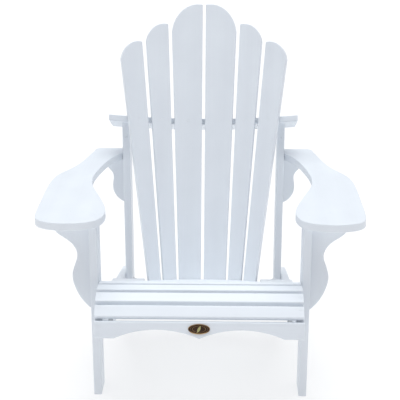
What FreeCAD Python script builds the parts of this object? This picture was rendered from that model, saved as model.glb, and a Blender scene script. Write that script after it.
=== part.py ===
"""Adirondack chair: painted boards, bolts and screws, each piece a node of its own.

Millimetres, +Z up.  The chair faces -Y, and its origin is on the floor under the
middle of its bounding box.  Depths along Y are measured back from the front
faces of the front legs, which stand at leg_front_y.
"""
import FreeCAD, Part
import math
import os
import Sketcher

Vector = FreeCAD.Vector
Rotation = FreeCAD.Rotation
Placement = FreeCAD.Placement

SIZES = {
    # boards
    "board": 21.0,
    "slat_board": 18.0,
    "seat_board": 16.0,
    "eased_edge": 2.5,
    "over_legs": 560.0,
    "leg_front_y": -329.2,
    "leg_deep": 70.0,
    "arm_top": 501.0,
    # side profile of the stringers: nose, crest, dip and tail
    "nose_turn": 48.0,
    "nose_cut_lean": 18.5,
    "nose_cut_long": 53.0,
    "crest_depth": -35.0,
    "crest_height": 310.5,
    "nose_radius": 100.0,
    "crest_radius": 150.0,
    "dip_radius": 1040.0,
    "dip_slope": 31.0,
    "tail_slope": 14.0,
    "tail_turn": 640.0,
    "tail_end": 800.0,
    "tail_edge": 14.0,
    "heel_depth": 560.0,
    # seat slats
    "seat_slat_wide": 32.0,
    "seat_slat_gap": 1.5,
    "seat_pitch": 42.0,
    "waterfall_step": 21.0,
    "seat_edge": 3.0,
    "rear_board_wide": 50.0,
    "rear_board_clear": 7.6,
    "rear_board_notch": 36.0,
    "rear_board_start": 362.0,
    # front apron and badge
    "apron_drop": 8.0,
    "apron_tall": 42.0,
    "arch_reach": 209.0,
    "arch_rise": 22.0,
    "badge_long": 54.0,
    "badge_tall": 25.0,
    "badge_plate_thick": 1.5,
    "badge_rim_wide": 2.2,
    "badge_rim_proud": 1.2,
    "badge_drop": 25.1,
    # reclined back
    "recline": 25.0,
    "foot_depth": 368.5,
    "foot_height": 181.5,
    "upper_rail_rise": 446.0,
    "lower_rail_rise": -72.0,
    "rail_wide": 95.0,
    "lower_rail_wide": 80.0,
    "upper_rail_radius": 560.0,
    "lower_rail_radius": 370.0,
    "paint_gap": 0.4,
    "upper_rail_half": 272.0,
    "rail_corner": 14.0,
    "slat_drop": 88.0,
    # rear posts
    "post_deep": 70.0,
    "post_depth": 535.0,
    "post_low": 12.0,
    # brackets under the arms
    "front_bracket_depth": 25.0,
    "rear_bracket_depth": 560.0,
    # fasteners
    "bolt_wide": 8.0,
    "bolt_head_wide": 19.0,
    "bolt_head_high": 4.5,
    "bolt_recess": 4.0,
    "washer_wide": 20.0,
    "washer_thick": 1.6,
    "nut_across": 13.0,
    "nut_high": 6.5,
    "screw_wide": 4.4,
    "screw_head_wide": 8.0,
    "screw_head_high": 3.0,
    "hole_play": 0.4,
    "pin_wide": 2.0,
    "pin_long": 12.0,
}

doc = FreeCAD.newDocument("AdirondackChair")
sheet = doc.addObject("Spreadsheet::Sheet", "Sizes")
for row, (alias, number) in enumerate(SIZES.items(), start=1):
    sheet.set(f"A{row}", alias)
    sheet.set(f"B{row}", str(number))
    sheet.setAlias(f"B{row}", alias)
doc.recompute()

nodes = []


def size(alias):
    """Value of a named cell of the sheet."""
    return float(sheet.get(alias))


def chair_y(depth):
    """Y of a depth measured back from the front faces of the legs."""
    return size("leg_front_y") + depth


def inner_x():
    """Half the clear width between the front legs."""
    return size("over_legs") / 2 - size("board")


# ---------------------------------------------------------------- outlines

def line(start, end):
    """Straight edge between two (u, v) points."""
    return Part.LineSegment(Vector(*start, 0), Vector(*end, 0))


def arc(start, middle, end):
    """Circular edge through three (u, v) points."""
    return Part.Arc(Vector(*start, 0), Vector(*middle, 0), Vector(*end, 0))


def spline(points):
    """Smooth edge through (u, v) points."""
    curve = Part.BSplineCurve()
    curve.interpolate([Vector(u, v, 0) for u, v in points])
    return curve


def polygon(points):
    """Closed chain of straight edges."""
    return [line(a, b) for a, b in zip(points, points[1:] + points[:1])]


def turn_arc(start, heading, radius, turn):
    """Arc that leaves start at a heading and turns left by turn degrees.

    Returns the edge, its end point and its end heading; a negative turn goes right.
    """
    side = math.copysign(1.0, turn)
    first = math.radians(heading)
    centre = (start[0] - side * radius * math.sin(first), start[1] + side * radius * math.cos(first))

    def on_arc(share):
        angle = math.radians(heading + turn * share)
        return (centre[0] + side * radius * math.sin(angle), centre[1] - side * radius * math.cos(angle))

    return arc(start, on_arc(0.5), on_arc(1.0)), on_arc(1.0), heading + turn


def rounded_box(low, high, radius):
    """Rectangle between two corners, its own corners rounded."""
    (u0, v0), (u1, v1) = low, high
    cut = radius * (1 - math.sqrt(0.5))
    return [
        line((u0 + radius, v0), (u1 - radius, v0)),
        arc((u1 - radius, v0), (u1 - cut, v0 + cut), (u1, v0 + radius)),
        line((u1, v0 + radius), (u1, v1 - radius)),
        arc((u1, v1 - radius), (u1 - cut, v1 - cut), (u1 - radius, v1)),
        line((u1 - radius, v1), (u0 + radius, v1)),
        arc((u0 + radius, v1), (u0 + cut, v1 - cut), (u0, v1 - radius)),
        line((u0, v1 - radius), (u0, v0 + radius)),
        arc((u0, v0 + radius), (u0 + cut, v0 + cut), (u0 + radius, v0)),
    ]


# ---------------------------------------------------------------- features

def origin_plane(body, role):
    """One of a body's own origin planes."""
    return next(item for item in body.Origin.OriginFeatures if item.Role == role)


def board_body(name, role, edges, thickness, midplane=False, ease="eased_edge"):
    """Body padded from a closed outline, its long edges eased to a named radius."""
    body = doc.addObject("PartDesign::Body", name)
    sketch = body.newObject("Sketcher::SketchObject", name + "_outline")
    sketch.AttachmentSupport = [(origin_plane(body, role), "")]
    sketch.MapMode = "FlatFace"
    sketch.addGeometry(edges, False)
    for index in range(len(edges)):
        sketch.addConstraint(Sketcher.Constraint("Block", index))
    pad = body.newObject("PartDesign::Pad", name + "_pad")
    pad.Profile = sketch
    pad.setExpression("Length", "Sizes." + thickness)
    pad.Midplane = midplane
    doc.recompute()
    if ease:
        ease_edges(body, pad, sketch, ease)
    return body


def ease_edges(body, pad, sketch, radius):
    """Round the edges of the two faces that lie along the sketch plane."""
    normal = sketch.Placement.Rotation.multVec(Vector(0, 0, 1))
    names = []
    for index, edge in enumerate(pad.Shape.Edges, start=1):
        levels = [edge.valueAt(t).dot(normal) for t in (edge.FirstParameter, edge.LastParameter)]
        middle = edge.valueAt((edge.FirstParameter + edge.LastParameter) / 2).dot(normal)
        if max(abs(level - middle) for level in levels) < 1e-6:
            names.append(f"Edge{index}")
    fillet = body.newObject("PartDesign::Fillet", pad.Name + "_eased")
    fillet.Base = (pad, names)
    fillet.setExpression("Radius", "Sizes." + radius)
    doc.recompute()


def cylinder(name, radius, height, place):
    """Part cylinder with its sizes bound to the sheet."""
    item = doc.addObject("Part::Cylinder", name)
    item.setExpression("Radius", radius)
    item.setExpression("Height", height)
    item.Placement = place
    return item


def along(point, direction):
    """Placement that puts local +Z along a direction at a point."""
    return Placement(Vector(*point), Rotation(Vector(0, 0, 1), Vector(*direction)))


def moved(place, distance):
    """The same placement, shifted along its own +Z."""
    return place.multiply(Placement(Vector(0, 0, distance), Rotation()))


def fused(name, items):
    """Union of several objects."""
    item = doc.addObject("Part::MultiFuse", name)
    item.Shapes = items
    return item


def grouped(name, items):
    """Node that holds identical pieces as separate solids."""
    item = doc.addObject("Part::Compound", name)
    item.Links = items
    return keep(item, name)


def keep(item, name):
    """Give a finished sub-part its node name."""
    item.Label = name
    nodes.append(item)
    return item


def drilled(name, blank, drills):
    """Board with its fastener holes cut; a board with no holes stays as it is."""
    if not drills:
        return keep(blank, name)
    tool = doc.addObject("Part::Compound", name + "_drills")
    tool.Links = drills
    item = doc.addObject("Part::Cut", name + "_drilled")
    item.Base = blank
    item.Tool = tool
    return keep(item, name)


# ---------------------------------------------------------------- fasteners

class Screws:
    """Flush wood screws of one length, and the holes that they sit in."""

    def __init__(self, name, length):
        self.name = name
        self.length = length
        self.pieces = []

    def drive(self, point, direction):
        """Drive a screw from a surface point along a direction; returns its drill."""
        place = along(point, direction)
        tag = f"{self.name}_{len(self.pieces) + 1:02d}"
        head = cylinder(tag + "_head", "Sizes.screw_head_wide / 2", "Sizes.screw_head_high", place)
        shank = cylinder(tag + "_shank", "Sizes.screw_wide / 2", f"{self.length}", place)
        self.pieces.append(fused(tag, [head, shank]))
        bore = cylinder(tag + "_bore", "(Sizes.screw_wide + Sizes.hole_play) / 2",
                        f"{self.length} + Sizes.hole_play", place)
        seat = cylinder(tag + "_seat", "(Sizes.screw_head_wide + Sizes.hole_play) / 2",
                        "Sizes.screw_head_high + 1", moved(place, -1))
        return fused(tag + "_drill", [bore, seat])

    def finish(self):
        """Make the node."""
        return grouped(self.name, self.pieces)


class Bolts:
    """Carriage bolts with washers and nuts through two boards along X."""

    def __init__(self, name, grip):
        self.name = name
        self.grip = grip
        self.bolts = []
        self.washers = []
        self.nuts = []

    def fit(self, outer_x, depth, height):
        """Fit one bolt from the outer face inwards, its head sunk; returns its drill."""
        side = math.copysign(1.0, outer_x)
        face = along((outer_x, chair_y(depth), height), (-side, 0, 0))
        place = moved(face, size("bolt_recess"))
        tag = f"{self.name}_{len(self.bolts) + 1}"
        self.bolts.append(self.bolt(tag, place))
        inner = moved(place, self.grip)
        self.washers.append(self.washer(tag, inner))
        self.nuts.append(self.nut(tag, moved(inner, size("washer_thick"))))
        bore = cylinder(tag + "_bore", "(Sizes.bolt_wide + Sizes.hole_play) / 2",
                        f"{self.grip} + 2", moved(place, -1))
        seat = cylinder(tag + "_seat", "Sizes.bolt_head_wide / 2 + Sizes.hole_play",
                        "Sizes.bolt_recess + 1", moved(face, -1))
        return fused(tag + "_drill", [bore, seat])

    def bolt(self, tag, place):
        """Domed head and plain shank, turned about the bolt's axis."""
        head_radius = size("bolt_head_wide") / 2
        shank_radius = size("bolt_wide") / 2
        head = size("bolt_head_high")
        tip = self.grip + size("washer_thick") + size("nut_high") + 3
        crown = (head_radius * 0.62, -head * 0.83)
        edges = [
            arc((0, -head), crown, (head_radius, -0.6)),
            line((head_radius, -0.6), (head_radius, 0)),
            line((head_radius, 0), (shank_radius, 0)),
            line((shank_radius, 0), (shank_radius, tip - 1)),
            line((shank_radius, tip - 1), (shank_radius - 1, tip)),
            line((shank_radius - 1, tip), (0, tip)),
            line((0, tip), (0, -head)),
        ]
        body = doc.addObject("PartDesign::Body", tag + "_bolt")
        sketch = body.newObject("Sketcher::SketchObject", tag + "_bolt_half")
        sketch.AttachmentSupport = [(origin_plane(body, "XZ_Plane"), "")]
        sketch.MapMode = "FlatFace"
        sketch.addGeometry(edges, False)
        turned = body.newObject("PartDesign::Revolution", tag + "_bolt_turned")
        turned.Profile = sketch
        turned.ReferenceAxis = (sketch, ["V_Axis"])
        turned.Angle = 360
        body.Placement = place
        return body

    def washer(self, tag, place):
        """Flat ring."""
        disc = cylinder(tag + "_disc", "Sizes.washer_wide / 2", "Sizes.washer_thick", place)
        hole = cylinder(tag + "_disc_hole", "(Sizes.bolt_wide + Sizes.hole_play) / 2",
                        "Sizes.washer_thick + 2", moved(place, -1))
        return cut(tag + "_washer", disc, hole)

    def nut(self, tag, place):
        """Hexagonal nut."""
        prism = doc.addObject("Part::Prism", tag + "_hexagon")
        prism.Polygon = 6
        prism.setExpression("Circumradius", "Sizes.nut_across / 2 / cos(30)")
        prism.setExpression("Height", "Sizes.nut_high")
        prism.Placement = place
        hole = cylinder(tag + "_nut_hole", "(Sizes.bolt_wide + Sizes.hole_play) / 2",
                        "Sizes.nut_high + 2", moved(place, -1))
        return cut(tag + "_nut", prism, hole)

    def finish(self):
        """Make the three nodes."""
        grouped(self.name + "_bolts", self.bolts)
        grouped(self.name + "_washers", self.washers)
        grouped(self.name + "_nuts", self.nuts)


def cut(name, base, tool):
    """Boolean difference."""
    item = doc.addObject("Part::Cut", name)
    item.Base = base
    item.Tool = tool
    return item


# ---------------------------------------------------------------- stringers and seat

def crest():
    """Highest point of a stringer, in (depth, height)."""
    return size("crest_depth"), size("crest_height")


def seat_curve():
    """Top of the stringer behind its crest: a convex arc, then a long hollow one."""
    bend, dip_start, heading = turn_arc(crest(), 0, size("crest_radius"), -size("dip_slope"))
    hollow, dip_end, heading = turn_arc(
        dip_start, heading, size("dip_radius"), size("dip_slope") - size("tail_slope"))
    return bend, hollow, dip_end, heading


def seat_station(distance):
    """Point and slope of the stringer's top, a distance behind the crest."""
    bend_length = size("crest_radius") * math.radians(size("dip_slope"))
    hollow_turn = size("dip_slope") - size("tail_slope")
    hollow_length = size("dip_radius") * math.radians(hollow_turn)
    if distance < bend_length:
        turn = -math.degrees(distance / size("crest_radius"))
        _, point, heading = turn_arc(crest(), 0, size("crest_radius"), turn)
        return point, heading
    _, point, heading = turn_arc(crest(), 0, size("crest_radius"), -size("dip_slope"))
    turn = min(math.degrees((distance - bend_length) / size("dip_radius")), hollow_turn)
    _, point, heading = turn_arc(point, heading, size("dip_radius"), turn)
    rest = max(distance - bend_length - hollow_length, 0.0)
    run = math.radians(heading)
    return (point[0] + rest * math.cos(run), point[1] + rest * math.sin(run)), heading


def nose_cut():
    """Top and bottom of the square-cut front end of a stringer, in (depth, height)."""
    turn, lean = math.radians(size("nose_turn")), math.radians(size("nose_cut_lean"))
    radius, long = size("nose_radius"), size("nose_cut_long")
    depth, height = crest()
    top = (depth - radius * math.sin(turn), height - radius + radius * math.cos(turn))
    return top, (top[0] - long * math.sin(lean), top[1] - long * math.cos(lean))


def stringer_outline():
    """Side view of a stringer in (depth, height)."""
    nose_top, nose_low = nose_cut()
    nose_arc, _, _ = turn_arc(nose_top, size("nose_turn"), size("nose_radius"), -size("nose_turn"))
    bend, hollow, dip_end, heading = seat_curve()
    fall = math.tan(math.radians(heading)) * (size("tail_turn") - dip_end[0])
    tail_turn = (size("tail_turn"), dip_end[1] + fall)
    tail_top = (size("tail_end"), size("tail_edge"))
    chord = math.degrees(math.atan2(tail_top[1] - tail_turn[1], tail_top[0] - tail_turn[0]))
    turn = 2 * (chord - heading)
    span = math.dist(tail_turn, tail_top)
    radius = span / (2 * math.sin(math.radians(abs(turn) / 2)))
    tail_arc, tail_top, _ = turn_arc(tail_turn, heading, radius, turn)
    return [
        nose_arc, bend, hollow,
        line(dip_end, tail_turn),
        tail_arc,
        line(tail_top, (size("tail_end"), 0)),
        line((size("tail_end"), 0), (size("heel_depth"), 0)),
        line((size("heel_depth"), 0), nose_low),
        line(nose_low, nose_top),
    ]


def make_stringers(drills):
    """Two side boards that carry the seat and run back to the floor."""
    for side, name in ((-1, "stringer_left"), (1, "stringer_right")):
        body = board_body(name + "_blank", "YZ_Plane", stringer_outline(), "board", ease=None)
        low_x = inner_x() - size("board") if side > 0 else -inner_x()
        body.Placement.Base = Vector(low_x, size("leg_front_y"), 0)
        drilled(name, body, drills[side])


def slat_stations():
    """Contact point and slope of each seat slat, front to back."""
    centre = (size("crest_depth"), size("crest_height") - size("nose_radius"))
    stations = []
    for step in (2, 1, 0):
        lean = math.radians(size("waterfall_step") * step)
        point = (centre[0] - size("nose_radius") * math.sin(lean),
                 centre[1] + size("nose_radius") * math.cos(lean))
        stations.append((point, math.degrees(lean)))
    distance = size("seat_pitch")
    while distance + size("seat_pitch") / 2 < size("rear_board_start"):
        stations.append(seat_station(distance))
        distance += size("seat_pitch")
    return stations


def seat_place(point, slope):
    """Placement whose local XY plane lies on the stringers at a station."""
    return Placement(Vector(0, chair_y(point[0]), point[1]), Rotation(Vector(1, 0, 0), slope))


def make_seat(screws, stringer_drills):
    """Seat slats across the stringers, and the screws that hold them."""
    stringer_x = inner_x() - size("board") / 2
    half = size("seat_slat_wide") / 2
    for number, (point, slope) in enumerate(slat_stations(), start=1):
        name = f"seat_slat_{number:02d}"
        edges = rounded_box((-half, 0), (half, size("seat_board")), size("seat_edge"))
        body = board_body(name + "_blank", "YZ_Plane", edges, "board", midplane=True, ease=None)
        pad = body.Tip
        pad.setExpression("Length", "Sizes.over_legs - 2 * Sizes.board - 2 * Sizes.seat_slat_gap")
        place = seat_place(point, slope)
        body.Placement = place
        screw_y = half / 2 if number == 1 else 0
        drills = drive_down(screws, place, [(-stringer_x, screw_y), (stringer_x, screw_y)],
                            size("seat_board"))
        stringer_drills[-1].append(drills[0])
        stringer_drills[1].append(drills[1])
        drilled(name, body, drills)


def drive_down(screws, place, spots, top):
    """Screws through a flat board at local (x, y) spots, from its top face down."""
    down = place.Rotation.multVec(Vector(0, 0, -1))
    return [screws.drive(tuple(place.multVec(Vector(x, y, top))), tuple(down)) for x, y in spots]


def make_rear_board(screws, stringer_drills):
    """Last seat board, cut at the back to follow the curve of the back slats."""
    half = inner_x()
    wide = size("rear_board_wide")
    middle = wide - size("rear_board_clear")
    ends = middle - size("rear_board_notch")
    step_x = back_edge(3, 0)[1] + 7
    edges = [
        line((-half, 0), (half, 0)),
        line((half, 0), (half, wide)),
        line((half, wide), (step_x, wide)),
        line((step_x, wide), (step_x, ends)),
        arc((step_x, ends), (0, middle), (-step_x, ends)),
        line((-step_x, ends), (-step_x, wide)),
        line((-step_x, wide), (-half, wide)),
        line((-half, wide), (-half, 0)),
    ]
    body = board_body("seat_rear_board_blank", "XY_Plane", edges, "seat_board")
    point, slope = seat_station(size("rear_board_start"))
    ahead, _ = seat_station(size("rear_board_start") + wide)
    slope = math.degrees(math.atan2(ahead[1] - point[1], ahead[0] - point[0]))
    place = seat_place(point, slope)
    body.Placement = place
    stringer_x = half - size("board") / 2
    spots = [(side * stringer_x, wide * share) for share in (0.25, 0.75) for side in (-1, 1)]
    drills = drive_down(screws, place, spots, size("seat_board"))
    stringer_drills[-1] += [drills[0], drills[2]]
    stringer_drills[1] += [drills[1], drills[3]]
    drilled("seat_rear_board", body, drills)


# ---------------------------------------------------------------- legs, posts, arms

def make_front_legs(drills):
    """Upright boards outside the stringers, from the floor to the arms."""
    tall = size("arm_top") - size("board")
    for side, name in ((-1, "front_leg_left"), (1, "front_leg_right")):
        edges = polygon([(0, 0), (size("leg_deep"), 0), (size("leg_deep"), tall), (0, tall)])
        body = board_body(name + "_blank", "YZ_Plane", edges, "board")
        low_x = inner_x() if side > 0 else -inner_x() - size("board")
        body.Placement.Base = Vector(low_x, size("leg_front_y"), 0)
        drilled(name, body, drills[side])


def rail_underside(depth):
    """Height of the upper rail's underside at a depth."""
    lean = math.radians(size("recline"))
    foot_y, foot_z = size("foot_depth"), size("foot_height")
    return foot_z + (size("upper_rail_rise") - (depth - foot_y) * math.sin(lean)) / math.cos(lean)


def make_rear_posts(drills):
    """Upright boards inside the stringers, cut at the top to meet the rail."""
    front = size("post_depth")
    back = front + size("post_deep")
    low = size("post_low")
    for side, name in ((-1, "rear_post_left"), (1, "rear_post_right")):
        edges = polygon([(front, low), (back, low), (back, rail_underside(back)),
                         (front, rail_underside(front))])
        body = board_body(name + "_blank", "YZ_Plane", edges, "board")
        outer = inner_x() - size("board")
        low_x = outer - size("board") if side > 0 else -outer
        body.Placement.Base = Vector(low_x, size("leg_front_y"), 0)
        drilled(name, body, drills[side])


# Plan of the right arm as (x, depth): tail, outer edge, broad front end, waist, post.
ARM_EDGE = [(325, 574), (335, 530), (348, 468), (375, 392), (401, 340), (413, 280), (416, 205), (416, 110),
            (415, 25), (404, -22), (368, -43), (300, -44), (262, -28), (242, 12), (245, 76), (259, 130),
            (284, 210), (297, 258), (301, 318), (286, 428), (264, 505), (238, 548)]
ARM_TAIL_DEPTH = 598
ARM_TAIL_CORNER = 22


def arm_outline(side):
    """Plan of one arm in (x, depth)."""
    edge = [(side * x, depth) for x, depth in ARM_EDGE]
    (tail_x, tail_start), (post_x, post_start) = edge[0], edge[-1]
    corner = side * ARM_TAIL_CORNER
    return [
        spline(edge),
        line((post_x, post_start), (post_x, ARM_TAIL_DEPTH)),
        line((post_x, ARM_TAIL_DEPTH), (tail_x - corner, ARM_TAIL_DEPTH)),
        arc((tail_x - corner, ARM_TAIL_DEPTH), (tail_x - corner * 0.22, ARM_TAIL_DEPTH - 6), (tail_x, tail_start)),
    ]


def make_arms(drills):
    """Level arms on the legs, each meeting the outer face of a rear post."""
    for side, name in ((-1, "arm_left"), (1, "arm_right")):
        body = board_body(name + "_blank", "XY_Plane", arm_outline(side), "board")
        body.Placement.Base = Vector(0, size("leg_front_y"), size("arm_top") - size("board"))
        drilled(name, body, drills[side])


# Front view of the right brackets as (x, height), from the arm down to the tip.
FRONT_BRACKET = [(371, 480), (366, 450), (335, 426), (314, 391), (320, 362), (328, 333), (322, 297),
                 (303, 260), (280, 236)]
REAR_BRACKET = [(291, 480), (288, 455), (271, 431), (272, 402), (270, 376), (257, 355), (238, 342)]


def make_brackets(name, outline, depth_name, screws, arm_drills, board_drills):
    """Curved brackets under the arms, screwed through the upright and the arm."""
    top = size("arm_top")
    for side, word in ((-1, "left"), (1, "right")):
        points = [(side * x, z) for x, z in outline]
        (top_x, top_z), (root_x, tip_z) = points[0], points[-1]
        edges = [
            spline(points),
            line((root_x, tip_z), (root_x, top_z)),
            line((root_x, top_z), (top_x, top_z)),
        ]
        body = board_body(f"{name}_{word}_blank", "XZ_Plane", edges, "board")
        depth = size(depth_name)
        body.Placement.Base = Vector(0, chair_y(depth + size("board")), 0)
        middle_y = chair_y(depth + size("board") / 2)
        inside_x = root_x - side * size("board")
        span = top_z - tip_z
        sideways = [screws.drive((inside_x, middle_y, tip_z + span * share), (side, 0, 0))
                    for share in (0.35, 0.8)]
        downwards = [screws.drive(((root_x + top_x) / 2, middle_y, top), (0, 0, -1))]
        arm_drills[side] += downwards
        board_drills[side] += sideways
        drilled(f"{name}_{word}", body, sideways + downwards)


# ---------------------------------------------------------------- reclined back

def back_point(x, forward, rise):
    """Point of the back's own frame: x, forward of its rear face, up its slope."""
    lean = math.radians(size("recline"))
    depth = size("foot_depth") + rise * math.sin(lean) - forward * math.cos(lean)
    return Vector(x, chair_y(depth), size("foot_height") + rise * math.cos(lean) + forward * math.sin(lean))


def back_rotation():
    """Rotation whose local axes are x, backwards and up the slope of the back."""
    return Rotation(Vector(1, 0, 0), -size("recline"))


# Half widths of the fan of slats at the seat and a metre up the slope: inner and
# outer edge of the centre, middle and outer slat.
FAN_EDGES = [(5.5, 6.0), (68.5, 106.5), (77.7, 120.5), (116.0, 198.0), (124.8, 214.5), (160.0, 294.5)]
FAN_LENGTH = 1000.0


def back_edge(slat, rise):
    """Inner and outer half widths of slat 1, 2 or 3 at a rise up the back."""
    pairs = FAN_EDGES[2 * slat - 2], FAN_EDGES[2 * slat - 1]
    return tuple(low + (high - low) * rise / FAN_LENGTH for low, high in pairs)


# Rise of each slat's top and of its shoulder, centre slat first.
SLAT_TOPS = {1: (804.0, 721.0), 2: (743.0, 688.0), 3: (685.0, 628.0)}
# Rounded head as shares of the slat's width and of the drop to its shoulder.
HEAD_CURVE = [(0.19, 0.0), (0.53, 0.12), (0.80, 0.40), (0.94, 0.70), (1.0, 1.0)]


def slat_middle(slat, rise):
    """Half width of a slat's centre line at a rise."""
    inner, outer = back_edge(slat, rise)
    return (inner + outer) / 2


def slat_twist(slat):
    """Angle in radians that turns a slat towards the middle of the hollow back."""
    rise = size("upper_rail_rise") + size("slat_board") / 2
    return math.asin(slat_middle(slat, rise) / size("upper_rail_radius"))


def rail_forward(x, radius):
    """How far a curved rail's front edge stands forward at x."""
    return radius - math.sqrt(radius * radius - x * x)


def slat_stand(slat, rail):
    """Where a slat crosses a rail: its rise, its x and how far forward it stands.

    A flat slat bridges the hollow edge, so it stands forward by the edge's
    rise over half the slat's width, and by a coat of paint.
    """
    rise = size(rail + "_rail_rise") + size("slat_board") / 2
    radius = size(rail + "_rail_radius")
    inner, outer = back_edge(slat, rise)
    middle = (inner + outer) / 2
    bridge = rail_forward((outer - inner) / 2 / math.cos(slat_twist(slat)), radius)
    return rise, middle, rail_forward(middle, radius) + bridge + size("paint_gap")


def slat_rest(slat, rail, twist):
    """Rise of a rail, and how far forward the slat's axis stands where its face meets the rail.

    The fan carries a slat outwards as it rises, and on a turned slat that is forwards too.
    """
    rise, middle, forward = slat_stand(slat, rail)
    return rise, forward - (middle - slat_middle(slat, 0)) * math.tan(twist)


def slat_outline(slat, side):
    """Face of one back slat in (x from its centre line at the seat, rise)."""
    low = -size("slat_drop")
    top, shoulder = SLAT_TOPS[slat]
    centre = slat_middle(slat, 0)
    stretch = side / math.cos(slat_twist(slat))
    foot_in, foot_out = back_edge(slat, low)
    top_in = back_edge(slat, top)[0]
    shoulder_out = back_edge(slat, shoulder)[1]
    corner = size("eased_edge")

    def local(x, rise):
        return (x - centre) * stretch, rise

    head = [local(top_in + (shoulder_out - top_in) * across, top - (top - shoulder) * drop)
            for across, drop in HEAD_CURVE]
    foot_left, foot_right = local(foot_in, low), local(foot_out, low)
    inner_corner, top_corner = local(top_in, top - corner), local(top_in + corner, top)
    return [
        line(foot_right, foot_left),
        line(foot_left, inner_corner),
        line(inner_corner, top_corner),
        line(top_corner, head[0]),
        spline(head),
        line(head[-1], foot_right),
    ]


def slat_place(slat, side):
    """Placement of a flat slat that touches both curved rails.

    Local x runs across the slat, local z up it, and local y backwards from its
    rear face, which rests on the front edges of the two rails.
    """
    twist = slat_twist(slat)
    low_rise, low_forward = slat_rest(slat, "lower", twist)
    high_rise, high_forward = slat_rest(slat, "upper", twist)
    tip = math.atan2(high_forward - low_forward, high_rise - low_rise)
    turn = back_rotation()
    turn = turn.multiply(Rotation(Vector(1, 0, 0), math.degrees(tip)))
    turn = turn.multiply(Rotation(Vector(0, 0, 1), -side * math.degrees(twist)))
    forward_at_foot = low_forward - math.tan(tip) * low_rise
    return Placement(back_point(side * slat_middle(slat, 0), forward_at_foot, 0), turn)


SLAT_NAMES = {1: "back_slat_centre", 2: "back_slat_middle", 3: "back_slat_outer"}


def make_back_slats(screws, rail_drills):
    """Six tapered slats in a fan, screwed to both rails from the front."""
    thick = size("slat_board")
    for slat, word in SLAT_NAMES.items():
        for side, hand in ((-1, "left"), (1, "right")):
            name = f"{word}_{hand}"
            body = board_body(name + "_blank", "XZ_Plane", slat_outline(slat, side), "slat_board")
            place = slat_place(slat, side)
            body.Placement = place
            back = place.Rotation.multVec(Vector(0, 1, 0))
            drills = []
            for rail in ("lower", "upper"):
                rise = size(rail + "_rail_rise") + thick / 2
                x = side * (slat_middle(slat, rise) - slat_middle(slat, 0)) / math.cos(slat_twist(slat))
                front = place.multVec(Vector(x, -thick, rise))
                drill = screws[rail].drive(tuple(front), tuple(back))
                rail_drills[rail].append(drill)
                drills.append(drill)
            drilled(name, body, drills)


def curved_rail(half, radius, wide, corner):
    """Outline of a rail in (x, backwards): concentric edges, rear corners rounded."""
    outer = radius + wide
    front_y = -rail_forward(half, radius)
    edges = [arc((-half, front_y), (0, 0), (half, front_y))]
    if not corner:
        rear_y = wide - rail_forward(half, outer)
        return edges + [
            line((half, front_y), (half, rear_y)),
            arc((half, rear_y), (0, wide), (-half, rear_y)),
            line((-half, rear_y), (-half, front_y)),
        ]
    corner_x = half - corner
    corner_y = math.sqrt((outer - corner) ** 2 - corner_x ** 2) - radius
    turn = math.atan2(corner_y + radius, corner_x)
    rear = [(corner_x + corner * math.cos(angle), corner_y + corner * math.sin(angle))
            for angle in (0, turn / 2, turn)]
    mirrored = [(-x, y) for x, y in reversed(rear)]
    return edges + [
        line((half, front_y), rear[0]),
        arc(*rear),
        arc(rear[2], (0, wide), mirrored[0]),
        arc(*mirrored),
        line(mirrored[2], (-half, front_y)),
    ]


def rail_place(rail):
    """Placement of a rail: local y backwards, local z up the slope of the back."""
    return Placement(back_point(0, 0, size(rail + "_rail_rise")), back_rotation())


def make_upper_rail(screws, slat_drills, post_drills):
    """Curved rail on top of the posts."""
    outline = curved_rail(size("upper_rail_half"), size("upper_rail_radius"), size("rail_wide"),
                          size("rail_corner"))
    body = board_body("upper_back_rail_blank", "XY_Plane", outline, "slat_board")
    place = rail_place("upper")
    body.Placement = place
    post_x = inner_x() - size("board") * 1.5
    post_middle = size("post_depth") + size("post_deep") / 2
    drills = []
    for side in (-1, 1):
        on_post = Vector(side * post_x, chair_y(post_middle), rail_underside(post_middle))
        local_y = place.inverse().multVec(on_post).y
        spots = [(side * post_x, local_y - 20), (side * post_x, local_y + 8)]
        pair = drive_down(screws, place, spots, size("slat_board"))
        post_drills[side] += pair
        drills += pair
    drilled("upper_back_rail", body, slat_drills + drills)


def make_lower_rail(screws, slat_drills, stringer_drills):
    """Curved rail between the stringers, behind the feet of the back slats."""
    half = inner_x() - size("board")
    radius, wide = size("lower_rail_radius"), size("lower_rail_wide")
    body = board_body("lower_back_rail_blank", "XY_Plane", curved_rail(half, radius, wide, 0), "slat_board")
    place = rail_place("lower")
    body.Placement = place
    end_y = -rail_forward(half, radius) + wide / 2
    drills = []
    for side in (-1, 1):
        for step in (-18, 18):
            end = place.multVec(Vector(side * half, end_y + step, size("slat_board") / 2))
            start = (side * inner_x(), end.y, end.z)
            drill = screws.drive(start, (-side, 0, 0))
            stringer_drills[side].append(drill)
            drills.append(drill)
    drilled("lower_back_rail", body, slat_drills + drills)


# ---------------------------------------------------------------- apron and badge

def apron_place():
    """Placement on the stringers' cut ends: local z up the cut, local y into it."""
    (depth, height), _ = nose_cut()
    return Placement(Vector(0, chair_y(depth), height), Rotation(Vector(1, 0, 0), -size("nose_cut_lean")))


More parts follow.
